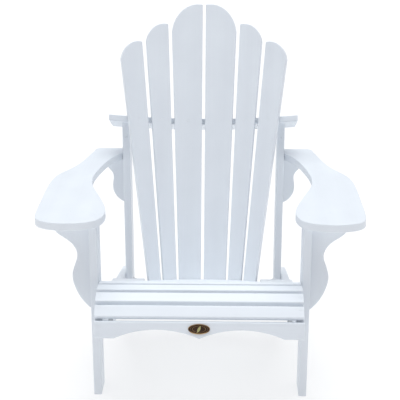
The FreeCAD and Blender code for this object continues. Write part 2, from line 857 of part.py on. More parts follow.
def make_apron(screws, stringer_drills, pin_drills):
    """Board across the noses of the stringers, with two shallow arches below."""
    half = inner_x()
    top = -size("apron_drop")
    low = top - size("apron_tall")
    reach = size("arch_reach")
    crown = low + size("arch_rise")
    edges = [
        line((-half, low), (-reach, low)),
        arc((-reach, low), (-reach / 2, crown), (0, low)),
        arc((0, low), (reach / 2, crown), (reach, low)),
        line((reach, low), (half, low)),
        line((half, low), (half, top)),
        line((half, top), (-half, top)),
        line((-half, top), (-half, low)),
    ]
    body = board_body("front_apron_blank", "XZ_Plane", edges, "slat_board")
    place = apron_place()
    body.Placement = place
    inwards = tuple(place.Rotation.multVec(Vector(0, 1, 0)))
    drills = []
    for side in (-1, 1):
        x = side * (inner_x() - size("board") / 2)
        spots = [place.multVec(Vector(x, -size("slat_board"), z)) for z in (low + 12, top - 12)]
        pair = [screws.drive(tuple(spot), inwards) for spot in spots]
        stringer_drills[side] += pair
        drills += pair
    drilled("front_apron", body, drills + pin_drills)


def make_badge():
    """Oval plate with a raised rim and a plain leaf, and its two pins."""
    place = apron_place()
    place.Base = place.multVec(Vector(0, -size("slat_board"), -size("badge_drop")))
    long_half, tall_half = size("badge_long") / 2, size("badge_tall") / 2
    rim = size("badge_rim_wide")
    body = board_body("badge_plate_blank", "XZ_Plane", [oval(long_half, tall_half)],
                      "badge_plate_thick", ease=None)
    add_relief(body, "rim", [oval(long_half, tall_half), oval(long_half - rim, tall_half - rim)],
               "badge_plate_thick + Sizes.badge_rim_proud")
    leaf = [(-11, -1.0), (-1, 5.6), (11, 1.6)], [(11, 1.6), (1, -4.4), (-11, -1.0)]
    add_relief(body, "leaf", [arc(*leaf[0]), arc(*leaf[1])],
               "badge_plate_thick + Sizes.badge_rim_proud / 2")
    body.Placement = place
    inwards = tuple(place.Rotation.multVec(Vector(0, 1, 0)))
    pins, drills = [], []
    for side, word in ((-1, "left"), (1, "right")):
        head = place.multVec(Vector(side * (long_half - 5.5), -size("badge_plate_thick"), 0))
        pin_place = along(tuple(head), inwards)
        pins.append(cylinder(f"badge_pin_{word}", "Sizes.pin_wide / 2", "Sizes.pin_long", pin_place))
        drills.append(cylinder(f"badge_pin_{word}_drill", "Sizes.pin_wide / 2 + 0.1",
                               "Sizes.pin_long + 4", moved(pin_place, -3)))
    drilled("badge_plate", body, drills)
    grouped("badge_pins", pins)
    return drills


def oval(long_half, tall_half):
    """Ellipse about the sketch's origin."""
    return Part.Ellipse(Vector(0, 0, 0), long_half, tall_half)


def add_relief(body, word, edges, height):
    """Raise a flat shape on a plate, from the plate's own sketch plane."""
    sketch = body.newObject("Sketcher::SketchObject", f"{body.Name}_{word}_outline")
    sketch.AttachmentSupport = [(origin_plane(body, "XZ_Plane"), "")]
    sketch.MapMode = "FlatFace"
    sketch.addGeometry(edges, False)
    pad = body.newObject("PartDesign::Pad", f"{body.Name}_{word}")
    pad.Profile = sketch
    pad.setExpression("Length", "Sizes." + height)


# ---------------------------------------------------------------- assembly

def both_sides():
    """Empty list of drills for each side."""
    return {-1: [], 1: []}


def build():
    """Make every sub-part; boards are cut last, when all their screws are known."""
    stringer, leg, post, arm = both_sides(), both_sides(), both_sides(), both_sides()
    rails = {"lower": [], "upper": []}
    seat_screws = Screws("seat_screws", 38)
    apron_screws = Screws("apron_screws", 50)
    arm_screws = Screws("arm_screws", 60)
    bracket_screws = Screws("bracket_screws", 45)
    rail_screws = Screws("rail_screws", 58)
    slat_screws = {"lower": Screws("lower_slat_screws", 45), "upper": Screws("upper_slat_screws", 45)}
    grip = 2 * size("board") - size("bolt_recess")
    leg_bolts = Bolts("leg", grip)
    post_bolts = Bolts("post", grip)

    make_seat(seat_screws, stringer)
    make_rear_board(seat_screws, stringer)
    make_apron(apron_screws, stringer, make_badge())
    make_brackets("front_bracket", FRONT_BRACKET, "front_bracket_depth", bracket_screws, arm, leg)
    make_brackets("rear_bracket", REAR_BRACKET, "rear_bracket_depth", bracket_screws, arm, post)
    make_back_slats(slat_screws, rails)
    make_upper_rail(rail_screws, rails["upper"], post)
    make_lower_rail(rail_screws, rails["lower"], stringer)
    fit_bolts(leg_bolts, post_bolts, leg, post, stringer)
    fit_arm_screws(arm_screws, arm, leg, post)
    make_stringers(stringer)
    make_front_legs(leg)
    make_rear_posts(post)
    make_arms(arm)
    for fasteners in (seat_screws, apron_screws, arm_screws, bracket_screws, rail_screws,
                      slat_screws["lower"], slat_screws["upper"], leg_bolts, post_bolts):
        fasteners.finish()


def fit_bolts(leg_bolts, post_bolts, leg, post, stringer):
    """Bolts through leg and stringer, and through stringer and post."""
    for side in (-1, 1):
        for depth, height in ((24, 205), (57, 250)):
            drill = leg_bolts.fit(side * size("over_legs") / 2, depth, height)
            leg[side].append(drill)
            stringer[side].append(drill)
        post_middle = size("post_depth") + size("post_deep") / 2
        for height in (34, 80):
            drill = post_bolts.fit(side * inner_x(), post_middle, height)
            post[side].append(drill)
            stringer[side].append(drill)


def fit_arm_screws(screws, arm, leg, post):
    """Screws down into the legs, and sideways from the posts into the arms."""
    leg_x = inner_x() + size("board") / 2
    post_x = inner_x() - 2 * size("board")
    for side in (-1, 1):
        for depth in (17, 53):
            drill = screws.drive((side * leg_x, chair_y(depth), size("arm_top")), (0, 0, -1))
            arm[side].append(drill)
            leg[side].append(drill)
        height = size("arm_top") - size("board") / 2
        drill = screws.drive((side * post_x, chair_y(586), height), (side, 0, 0))
        arm[side].append(drill)
        post[side].append(drill)


def check():
    """Stop if any object failed or any node's shape is empty or invalid."""
    for item in doc.Objects:
        if {"Invalid", "Error"} & set(item.State):
            raise RuntimeError(f"{item.Name} failed: {item.State}")
    for item in nodes:
        if item.Shape.isNull() or not item.Shape.isValid():
            raise RuntimeError(f"{item.Label} has a bad shape")


def export():
    """Write one STEP file for each node."""
    os.makedirs("parts", exist_ok=True)
    for item in nodes:
        item.Shape.exportStep(f"parts/{item.Label}.step")


build()
doc.recompute()
check()
export()
print(len(nodes), "nodes written")
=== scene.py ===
"""Looks of the adirondack chair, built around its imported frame.

Metres, +Z up.  The chair faces -Y and stands on the floor at z = 0.
"""
import logging
import math
from dataclasses import dataclass, field
from enum import Enum

import bmesh
import bpy
from mathutils import Matrix, Vector


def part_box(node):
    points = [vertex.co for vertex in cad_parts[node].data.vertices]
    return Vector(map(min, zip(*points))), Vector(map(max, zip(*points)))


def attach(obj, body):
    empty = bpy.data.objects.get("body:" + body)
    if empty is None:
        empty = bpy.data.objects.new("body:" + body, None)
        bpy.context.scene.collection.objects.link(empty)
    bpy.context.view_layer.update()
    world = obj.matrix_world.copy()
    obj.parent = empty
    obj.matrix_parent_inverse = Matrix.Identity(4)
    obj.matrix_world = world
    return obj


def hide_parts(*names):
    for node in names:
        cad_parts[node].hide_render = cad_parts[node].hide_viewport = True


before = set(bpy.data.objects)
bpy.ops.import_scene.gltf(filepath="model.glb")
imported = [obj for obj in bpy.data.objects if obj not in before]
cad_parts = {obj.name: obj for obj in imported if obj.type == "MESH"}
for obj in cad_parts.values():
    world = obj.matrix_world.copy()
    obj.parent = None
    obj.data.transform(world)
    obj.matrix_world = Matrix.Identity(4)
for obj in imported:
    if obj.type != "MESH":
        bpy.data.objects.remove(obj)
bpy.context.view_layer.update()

log = logging.getLogger("adirondack_chair")

BODY = "root"
SIDES = ("left", "right")

Colour = tuple[float, float, float, float]
Triple = tuple[float, float, float]
Socket = bpy.types.NodeSocket
Group = bpy.types.ShaderNodeTree

ZERO: Triple = (0.0, 0.0, 0.0)
RIGHT_ANGLE = math.radians(90.0)


class Grain(Enum):
    """Turn that brings a board's length onto the X axis of the grain pattern."""

    ACROSS = (0.0, 0.0, 0.0)
    DEPTH = (0.0, 0.0, -RIGHT_ANGLE)
    UPRIGHT = (0.0, RIGHT_ANGLE, 0.0)
    RECLINED = (math.radians(25.0), RIGHT_ANGLE, 0.0)
    SLOPING = (math.radians(16.0), 0.0, -RIGHT_ANGLE)


# ---------------------------------------------------------------- shader groups

def new_group(name: str, inputs: dict[str, tuple[str, object]], outputs: dict[str, str]) -> Group:
    """Make an empty shader group with named sockets.

    Args:
        name: name of the group.
        inputs: socket name to (socket kind, default value or None).
        outputs: socket name to socket kind.

    Returns:
        The group, with an input node called "in" and an output node called "out".
    """
    tree = bpy.data.node_groups.new(name, "ShaderNodeTree")
    for label, (kind, value) in inputs.items():
        socket = tree.interface.new_socket(label, in_out="INPUT",
                                           socket_type=f"NodeSocket{kind}")
        if value is not None:
            socket.default_value = value
    for label, kind in outputs.items():
        tree.interface.new_socket(label, in_out="OUTPUT", socket_type=f"NodeSocket{kind}")
    tree.nodes.new("NodeGroupInput").name = "in"
    tree.nodes.new("NodeGroupOutput").name = "out"
    return tree


@dataclass
class Wiring:
    """Shorthand for adding and joining nodes in one node tree."""

    tree: bpy.types.NodeTree

    def add(self, kind: str, **values: object) -> bpy.types.Node:
        """Add a node and set its properties or, by socket name, its inputs.

        Args:
            kind: node type without the "ShaderNode" prefix.
            values: properties of the node, or input sockets with spaces written as "_".

        Returns:
            The new node.
        """
        node = self.tree.nodes.new(f"ShaderNode{kind}")
        for label, value in values.items():
            if hasattr(node, label):
                setattr(node, label, value)
            else:
                node.inputs[label.replace("_", " ")].default_value = value
        return node

    def join(self, source: Socket, target: Socket) -> None:
        """Link an output to an input."""
        self.tree.links.new(source, target)

    def blend(self, share: Socket, low: Colour, high: Colour) -> Socket:
        """Mix two colours by a value.

        Args:
            share: value from 0, all low, to 1, all high.
            low: colour at 0.
            high: colour at 1.

        Returns:
            The colour output.
        """
        mix = self.add("Mix", data_type="RGBA")
        self.join(share, mix.inputs["Factor"])
        mix.inputs["A"].default_value = low
        mix.inputs["B"].default_value = high
        return mix.outputs["Result"]

    def scaled(self, value: Socket, gain: float, offset: float = 0.0) -> Socket:
        """Return value times gain plus offset, held between 0 and 1."""
        maths = self.add("Math", operation="MULTIPLY_ADD", use_clamp=True)
        self.join(value, maths.inputs[0])
        maths.inputs[1].default_value = gain
        maths.inputs[2].default_value = offset
        return maths.outputs[0]

    def added(self, first: Socket, second: Socket, gain: float) -> Socket:
        """Return first plus second times gain."""
        maths = self.add("Math", operation="MULTIPLY_ADD")
        self.join(second, maths.inputs[0])
        maths.inputs[1].default_value = gain
        self.join(first, maths.inputs[2])
        return maths.outputs[0]


@dataclass
class BoardGrain:
    """Group with the figure of a planed board under brushed paint, its length along X."""

    streak_stretch: Triple = (3.0, 150.0, 150.0)
    streak_detail: float = 3.0
    streak_share: float = 0.55
    brush_stretch: Triple = (7.0, 620.0, 620.0)
    brush_detail: float = 2.0
    brush_height: float = 0.6
    brush_sheen: float = 0.4
    noise_roughness: float = 0.6
    figure_stretch: Triple = (0.45, 9.0, 9.0)
    figure_tone: float = 0.45
    ring_scale: float = 0.9
    ring_distortion: float = 3.0
    ring_detail: float = 2.0
    ring_detail_scale: float = 0.8
    cloud_scale: float = 9.0
    cloud_detail: float = 3.0
    cloud_roughness: float = 0.55
    cloud_tone: float = 0.7
    cloud_sheen: float = 0.6

    def build(self) -> Group:
        """Build the group.

        Returns:
            A group with Vector, Figure and Brushing in, and Tone, Sheen and Height out.
        """
        tree = new_group(
            "painted_board_grain",
            {"Vector": ("Vector", None), "Figure": ("Float", 0.5),
             "Brushing": ("Float", 0.5)},
            {"Tone": "Float", "Sheen": "Float", "Height": "Float"},
        )
        wiring = Wiring(tree)
        place = tree.nodes["in"].outputs["Vector"]
        figure_share = tree.nodes["in"].outputs["Figure"]
        brush_share = tree.nodes["in"].outputs["Brushing"]
        streaks = self.stretched(wiring, place, self.streak_stretch, self.streak_detail)
        brush = self.stretched(wiring, place, self.brush_stretch, self.brush_detail)
        figure = self.growth_rings(wiring, place)
        noise = wiring.add("TexNoise", Scale=self.cloud_scale, Detail=self.cloud_detail,
                           Roughness=self.cloud_roughness)
        wiring.join(place, noise.inputs["Vector"])
        clouds = noise.outputs["Fac"]

        ringed = self.weighted(wiring, figure, figure_share)
        brushed = self.weighted(wiring, brush, brush_share)
        grain = wiring.added(ringed, streaks, self.streak_share)
        height = wiring.added(grain, brushed, self.brush_height)
        tone = wiring.added(wiring.scaled(clouds, self.cloud_tone), grain, self.figure_tone)
        sheen = wiring.added(wiring.scaled(clouds, self.cloud_sheen), brushed, self.brush_sheen)
        out = tree.nodes["out"]
        wiring.join(tone, out.inputs["Tone"])
        wiring.join(sheen, out.inputs["Sheen"])
        wiring.join(height, out.inputs["Height"])
        return tree

    def stretched(self, wiring: Wiring, place: Socket, stretch: Triple, detail: float) -> Socket:
        """Add noise drawn out along the board.

        Args:
            wiring: the group's wiring.
            place: vector to read.
            stretch: scale along the board and across it.
            detail: octaves of noise.

        Returns:
            The value output.
        """
        turn = wiring.add("Mapping")
        turn.inputs["Scale"].default_value = stretch
        wiring.join(place, turn.inputs["Vector"])
        noise = wiring.add("TexNoise", Scale=1.0, Detail=detail, Roughness=self.noise_roughness)
        wiring.join(turn.outputs["Vector"], noise.inputs["Vector"])
        return noise.outputs["Fac"]

    def growth_rings(self, wiring: Wiring, place: Socket) -> Socket:
        """Add the long open figure that growth rings leave on a flat-sawn board."""
        turn = wiring.add("Mapping")
        turn.inputs["Scale"].default_value = self.figure_stretch
        wiring.join(place, turn.inputs["Vector"])
        rings = wiring.add("TexWave", Scale=self.ring_scale, Distortion=self.ring_distortion,
                           Detail=self.ring_detail, wave_type="BANDS",
                           bands_direction="DIAGONAL", Detail_Scale=self.ring_detail_scale)
        wiring.join(turn.outputs["Vector"], rings.inputs["Vector"])
        return rings.outputs["Fac"]

    def weighted(self, wiring: Wiring, value: Socket, share: Socket) -> Socket:
        """Return value times share."""
        product = wiring.add("Math", operation="MULTIPLY")
        wiring.join(value, product.inputs[0])
        wiring.join(share, product.inputs[1])
        return product.outputs[0]


@dataclass
class MetalSkin:
    """Group with fine scratches and faint clouding, for plated and cast metal."""

    scratch_scale: float = 900.0
    scratch_detail: float = 4.0
    scratch_roughness: float = 0.7
    scratch_tone: float = 0.3
    cloud_scale: float = 160.0
    cloud_detail: float = 2.0
    cloud_distortion: float = 0.4
    cloud_tone: float = 0.7

    def build(self) -> Group:
        """Build the group.

        Returns:
            A group with Vector in, and Tone and Height out.
        """
        tree = new_group("metal_skin", {"Vector": ("Vector", None)},
                         {"Tone": "Float", "Height": "Float"})
        wiring = Wiring(tree)
        place = tree.nodes["in"].outputs["Vector"]
        scratches = wiring.add("TexNoise", Scale=self.scratch_scale, Detail=self.scratch_detail,
                               Roughness=self.scratch_roughness)
        wiring.join(place, scratches.inputs["Vector"])
        clouds = wiring.add("TexNoise", Scale=self.cloud_scale, Detail=self.cloud_detail,
                            Distortion=self.cloud_distortion)
        wiring.join(place, clouds.inputs["Vector"])
        tone = wiring.added(wiring.scaled(clouds.outputs["Fac"], self.cloud_tone),
                            scratches.outputs["Fac"], self.scratch_tone)
        wiring.join(tone, tree.nodes["out"].inputs["Tone"])
        wiring.join(scratches.outputs["Fac"], tree.nodes["out"].inputs["Height"])
        return tree


# ---------------------------------------------------------------- finishes

def start_material(name: str) -> tuple[bpy.types.Material, Wiring, bpy.types.Node]:
    """Make a node material.

    Args:
        name: name of the material.

    Returns:
        The material, its wiring and its Principled shader.
    """
    material = bpy.data.materials.new(name)
    material.use_nodes = True
    shader = material.node_tree.nodes["Principled BSDF"]
    return material, Wiring(material.node_tree), shader


def place_group(wiring: Wiring, tree: Group, turn: Triple = ZERO,
                shift: Triple = ZERO) -> bpy.types.Node:
    """Put a shader group in a material, reading turned Object coordinates.

    Args:
        wiring: the material's wiring.
        tree: the group.
        turn: rotation of the pattern, in radians.
        shift: move of the pattern, in metres.

    Returns:
        The group node.
    """
    coordinates = wiring.add("TexCoord")
    mapping = wiring.add("Mapping")
    mapping.inputs["Rotation"].default_value = turn
    mapping.inputs["Location"].default_value = shift
    wiring.join(coordinates.outputs["Object"], mapping.inputs["Vector"])
    group = wiring.tree.nodes.new("ShaderNodeGroup")
    group.node_tree = tree
    wiring.join(mapping.outputs["Vector"], group.inputs["Vector"])
    return group


def add_bump(wiring: Wiring, shader: bpy.types.Node, height: Socket, strength: float,
             distance: float) -> None:
    """Feed a height to the shader's normal.

    Args:
        wiring: the material's wiring.
        shader: the Principled shader.
        height: height output.
        strength: share of the full effect.
        distance: depth of the relief, in metres.
    """
    bump = wiring.add("Bump", Strength=strength, Distance=distance)
    wiring.join(height, bump.inputs["Height"])
    wiring.join(bump.outputs["Normal"], shader.inputs["Normal"])


@dataclass(frozen=True)
class BrushedPaint:
    """White satin paint brushed over planed softwood."""

    light: Colour = (0.83, 0.872, 0.915, 1.0)
    shade: Colour = (0.765, 0.802, 0.85, 1.0)
    glossy: float = 0.34
    matt: float = 0.52
    figure: float = 0.35
    brushing: float = 0.55
    relief: float = 0.00035
    relief_strength: float = 0.5
    tone_gain: float = 1.5
    tone_offset: float = -0.35
    specular: float = 0.45

    def dress(self, name: str, grain: Grain, group: Group, shift: Triple) -> bpy.types.Material:
        """Make the paint for boards that run one way.

        Args:
            name: name of the material.
            grain: which way the boards run.
            group: the board grain group.
            shift: move of the pattern, in metres.

        Returns:
            The material.
        """
        material, wiring, shader = start_material(name)
        board = place_group(wiring, group, grain.value, shift)
        board.inputs["Figure"].default_value = self.figure
        board.inputs["Brushing"].default_value = self.brushing
        tone = wiring.scaled(board.outputs["Tone"], self.tone_gain, self.tone_offset)
        wiring.join(wiring.blend(tone, self.shade, self.light), shader.inputs["Base Color"])
        sheen = wiring.scaled(board.outputs["Sheen"], self.matt - self.glossy, self.glossy)
        wiring.join(sheen, shader.inputs["Roughness"])
        add_bump(wiring, shader, board.outputs["Height"], self.relief_strength, self.relief)
        shader.inputs["Specular IOR Level"].default_value = self.specular
        return material


@dataclass(frozen=True)
class Metal:
    """Bare or plated metal."""

    light: Colour
    shade: Colour
    glossy: float
    matt: float
    relief: float = 0.00004
    relief_strength: float = 0.5

    def dress(self, name: str, group: Group) -> bpy.types.Material:
        """Make the metal.

        Args:
            name: name of the material.
            group: the metal skin group.

        Returns:
            The material.
        """
        material, wiring, shader = start_material(name)
        skin = place_group(wiring, group)
        colour = wiring.blend(skin.outputs["Tone"], self.shade, self.light)
        wiring.join(colour, shader.inputs["Base Color"])
        roughness = wiring.scaled(skin.outputs["Tone"], self.matt - self.glossy, self.glossy)
        wiring.join(roughness, shader.inputs["Roughness"])
        add_bump(wiring, shader, skin.outputs["Height"], self.relief_strength, self.relief)
        shader.inputs["Metallic"].default_value = 1.0
        return material


@dataclass(frozen=True)
class Enamel:
    """Dark brown enamel that fills the field of the badge."""

    light: Colour = (0.075, 0.034, 0.016, 1.0)
    shade: Colour = (0.012, 0.006, 0.004, 1.0)
    tone_gain: float = 1.4
    tone_offset: float = -0.2
    gloss: float = 0.30
    gloss_spread: float = 0.2
    relief: float = 0.00003
    relief_strength: float = 0.3
    specular: float = 0.3

    def dress(self, name: str, group: Group) -> bpy.types.Material:
        """Make the enamel.

        Args:
            name: name of the material.
            group: the metal skin group.

        Returns:
            The material.
        """
        material, wiring, shader = start_material(name)
        skin = place_group(wiring, group)
        tone = wiring.scaled(skin.outputs["Tone"], self.tone_gain, self.tone_offset)
        wiring.join(wiring.blend(tone, self.shade, self.light), shader.inputs["Base Color"])
        roughness = wiring.scaled(skin.outputs["Tone"], self.gloss_spread, self.gloss)
        wiring.join(roughness, shader.inputs["Roughness"])
        add_bump(wiring, shader, skin.outputs["Height"], self.relief_strength, self.relief)
        shader.inputs["Specular IOR Level"].default_value = self.specular
        return material


@dataclass(frozen=True)
class FloorPaint:
    """Plain pale floor with a faint cloudiness and a glow of its own."""

    light: Colour = (0.41, 0.41, 0.41, 1.0)
    shade: Colour = (0.39, 0.39, 0.39, 1.0)
    cloud_scale: float = 1.5
    cloud_detail: float = 2.0
    roughness: float = 0.85
    specular: float = 0.1
    glow_colour: Colour = (1.0, 1.0, 1.0, 1.0)
    glow: float = 0.62

    def dress(self, name: str) -> bpy.types.Material:
        """Make the floor's material."""
        material, wiring, shader = start_material(name)
        coordinates = wiring.add("TexCoord")
        noise = wiring.add("TexNoise", Scale=self.cloud_scale, Detail=self.cloud_detail)
        wiring.join(coordinates.outputs["Object"], noise.inputs["Vector"])
        colour = wiring.blend(noise.outputs["Fac"], self.shade, self.light)
        wiring.join(colour, shader.inputs["Base Color"])
        shader.inputs["Roughness"].default_value = self.roughness
        shader.inputs["Specular IOR Level"].default_value = self.specular
        shader.inputs["Emission Color"].default_value = self.glow_colour
        shader.inputs["Emission Strength"].default_value = self.glow
        return material


@dataclass
class Finishes:
    """Every finish of the chair, made once."""

    paint: BrushedPaint = field(default_factory=BrushedPaint)
    zinc: Metal = Metal((0.62, 0.63, 0.64, 1.0), (0.40, 0.41, 0.43, 1.0), 0.28, 0.48)
    brass: Metal = Metal((0.50, 0.33, 0.15, 1.0), (0.17, 0.095, 0.045, 1.0), 0.26, 0.50)
    gilt: Metal = Metal((0.86, 0.72, 0.33, 1.0), (0.34, 0.42, 0.20, 1.0), 0.22, 0.40)
    grain_step: Triple = (0.137, 0.071, 0.053)
    board_group: Group = field(init=False)
    metal_group: Group = field(init=False)
    boards: dict[Grain, bpy.types.Material] = field(init=False)
    zinc_steel: bpy.types.Material = field(init=False)
    brass_rim: bpy.types.Material = field(init=False)
    gilt_leaf: bpy.types.Material = field(init=False)
    enamel: bpy.types.Material = field(init=False)

    def __post_init__(self) -> None:
        """Build the groups and the materials."""
        self.board_group = BoardGrain().build()
        self.metal_group = MetalSkin().build()
        self.boards = {
            grain: self.paint.dress(f"white_paint_{grain.name.lower()}", grain, self.board_group,
                                    tuple(step * number for step in self.grain_step))
            for number, grain in enumerate(Grain)
        }
        self.zinc_steel = self.zinc.dress("zinc_plated_steel", self.metal_group)
        self.brass_rim = self.brass.dress("badge_brass", self.metal_group)
        self.gilt_leaf = self.gilt.dress("badge_gilt", self.metal_group)
        self.enamel = Enamel().dress("badge_enamel", self.metal_group)


def repaint(node: str, material: bpy.types.Material) -> None:
    """Give a node of the frame a material through its object's own slots.

    Args:
        node: name of the node.
        material: the material to show.
    """
    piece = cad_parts[node]
    for slot in piece.material_slots:
        slot.link = "OBJECT"
        slot.material = material
    log.info("%s: %s", node, material.name)


def finish_piece(name: str, work: bmesh.types.BMesh, material: bpy.types.Material,
                 smooth_under: float = math.radians(35.0)) -> bpy.types.Object:
    """Turn a bmesh into a finished piece that rides on the chair.

    Args:
        name: name of the piece.
        work: the bmesh, in place; it is freed.
        material: its material.
        smooth_under: edges that turn less than this are shaded smooth.

    Returns:
        The new object.
    """
    bmesh.ops.recalc_face_normals(work, faces=work.faces[:])
    for face in work.faces:
        face.smooth = True
    for edge in work.edges:
        edge.smooth = len(edge.link_faces) == 2 and edge.calc_face_angle(0.0) < smooth_under
    mesh = bpy.data.meshes.new(name)
    work.to_mesh(mesh)
    work.free()
    mesh.materials.append(material)
    piece = bpy.data.objects.new(name, mesh)
    bpy.context.scene.collection.objects.link(piece)
    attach(piece, BODY)
    log.info("%s: %d faces", name, len(mesh.polygons))
    return piece


def round_edges(work: bmesh.types.BMesh, edges: list[bmesh.types.BMEdge], radius: float,
                segments: int) -> None:
    """Round edges of a bmesh.

    Args:
        work: the bmesh.
        edges: the edges to round.
        radius: how far the rounding reaches, in metres.
        segments: facets across it.
    """
    bmesh.ops.bevel(work, geom=edges, offset=radius, offset_type="OFFSET", segments=segments,
                    profile=0.5, affect="EDGES", clamp_overlap=True, material=-1)


def keep_upper(work: bmesh.types.BMesh) -> None:
    """Cut away the half of a bmesh that lies under the XY plane, and leave the cut open."""
    bmesh.ops.bisect_plane(work, geom=work.verts[:] + work.edges[:] + work.faces[:],
                           plane_co=(0, 0, 0), plane_no=(0, 0, -1), clear_outer=True)


# ---------------------------------------------------------------- sub-assemblies

@dataclass
class Seat:
    """Seat slats, the board behind them, the apron and the two stringers that carry them."""

    finishes: Finishes
    slats: int = 11
    edge_ease: float = 0.0022
    ease_segments: int = 3
    merge_gap: float = 0.00001
    flat_angle: float = math.radians(0.5)
    sharp_angle: float = math.radians(50.0)
    shortest_edge: float = 0.0028

    def build(self) -> None:
        """Paint the boards and ease the stringers' edges."""
        for number in range(1, self.slats + 1):
            repaint(f"seat_slat_{number:02d}", self.finishes.boards[Grain.ACROSS])
        repaint("seat_rear_board", self.finishes.boards[Grain.ACROSS])
        repaint("front_apron", self.finishes.boards[Grain.ACROSS])
        for side in SIDES:
            self.ease_stringer(side)

    def ease_stringer(self, side: str) -> None:
        """Replace a stringer by a copy whose long edges are rounded.

        Args:
            side: "left" or "right".
        """
        node = f"stringer_{side}"
        work = bmesh.new()
        work.from_mesh(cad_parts[node].data)
        bmesh.ops.remove_doubles(work, verts=work.verts[:], dist=self.merge_gap)
        bmesh.ops.dissolve_limit(work, angle_limit=self.flat_angle, verts=work.verts[:],
                                 edges=work.edges[:])
        corners = [
            edge for edge in work.edges
            if len(edge.link_faces) == 2 and edge.calc_face_angle(0.0) > self.sharp_angle
            and edge.calc_length() > self.shortest_edge
        ]
        round_edges(work, corners, self.edge_ease, self.ease_segments)
        piece = finish_piece(f"eased_stringer_{side}", work, self.finishes.boards[Grain.SLOPING])
        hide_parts(node)


@dataclass
class Back:
    """The six slats of the fan and the two curved rails behind them."""

    finishes: Finishes
    slats: tuple[str, ...] = ("centre", "middle", "outer")

    def build(self) -> None:
        """Paint the slats and the rails."""
        for side in SIDES:
            for slat in self.slats:
                repaint(f"back_slat_{slat}_{side}", self.finishes.boards[Grain.RECLINED])
        repaint("upper_back_rail", self.finishes.boards[Grain.ACROSS])
        repaint("lower_back_rail", self.finishes.boards[Grain.ACROSS])


@dataclass
class ArmsAndLegs:
    """The arms, their brackets, the front legs and the rear posts."""

    finishes: Finishes
    uprights: tuple[str, ...] = ("front_leg", "rear_post", "front_bracket", "rear_bracket")

    def build(self) -> None:
        """Paint the boards of both sides."""
        for side in SIDES:
            repaint(f"arm_{side}", self.finishes.boards[Grain.DEPTH])
            for upright in self.uprights:
                repaint(f"{upright}_{side}", self.finishes.boards[Grain.UPRIGHT])


@dataclass
class Fasteners:
    """Bolts, washers and nuts in zinc, and the painted heads of the screws."""

    finishes: Finishes
    zinc_nodes: tuple[str, ...] = ("leg_bolts", "leg_nuts", "leg_washers",
                                   "post_bolts", "post_nuts", "post_washers")
    painted_nodes: tuple[str, ...] = ("apron_screws", "arm_screws", "bracket_screws",
                                      "lower_slat_screws", "rail_screws", "seat_screws",
                                      "upper_slat_screws")

    def build(self) -> None:
        """Dress every fastener."""
        for node in self.zinc_nodes:
            repaint(node, self.finishes.zinc_steel)
        for node in self.painted_nodes:
            repaint(node, self.finishes.boards[Grain.ACROSS])
        repaint("badge_pins", self.finishes.brass_rim)


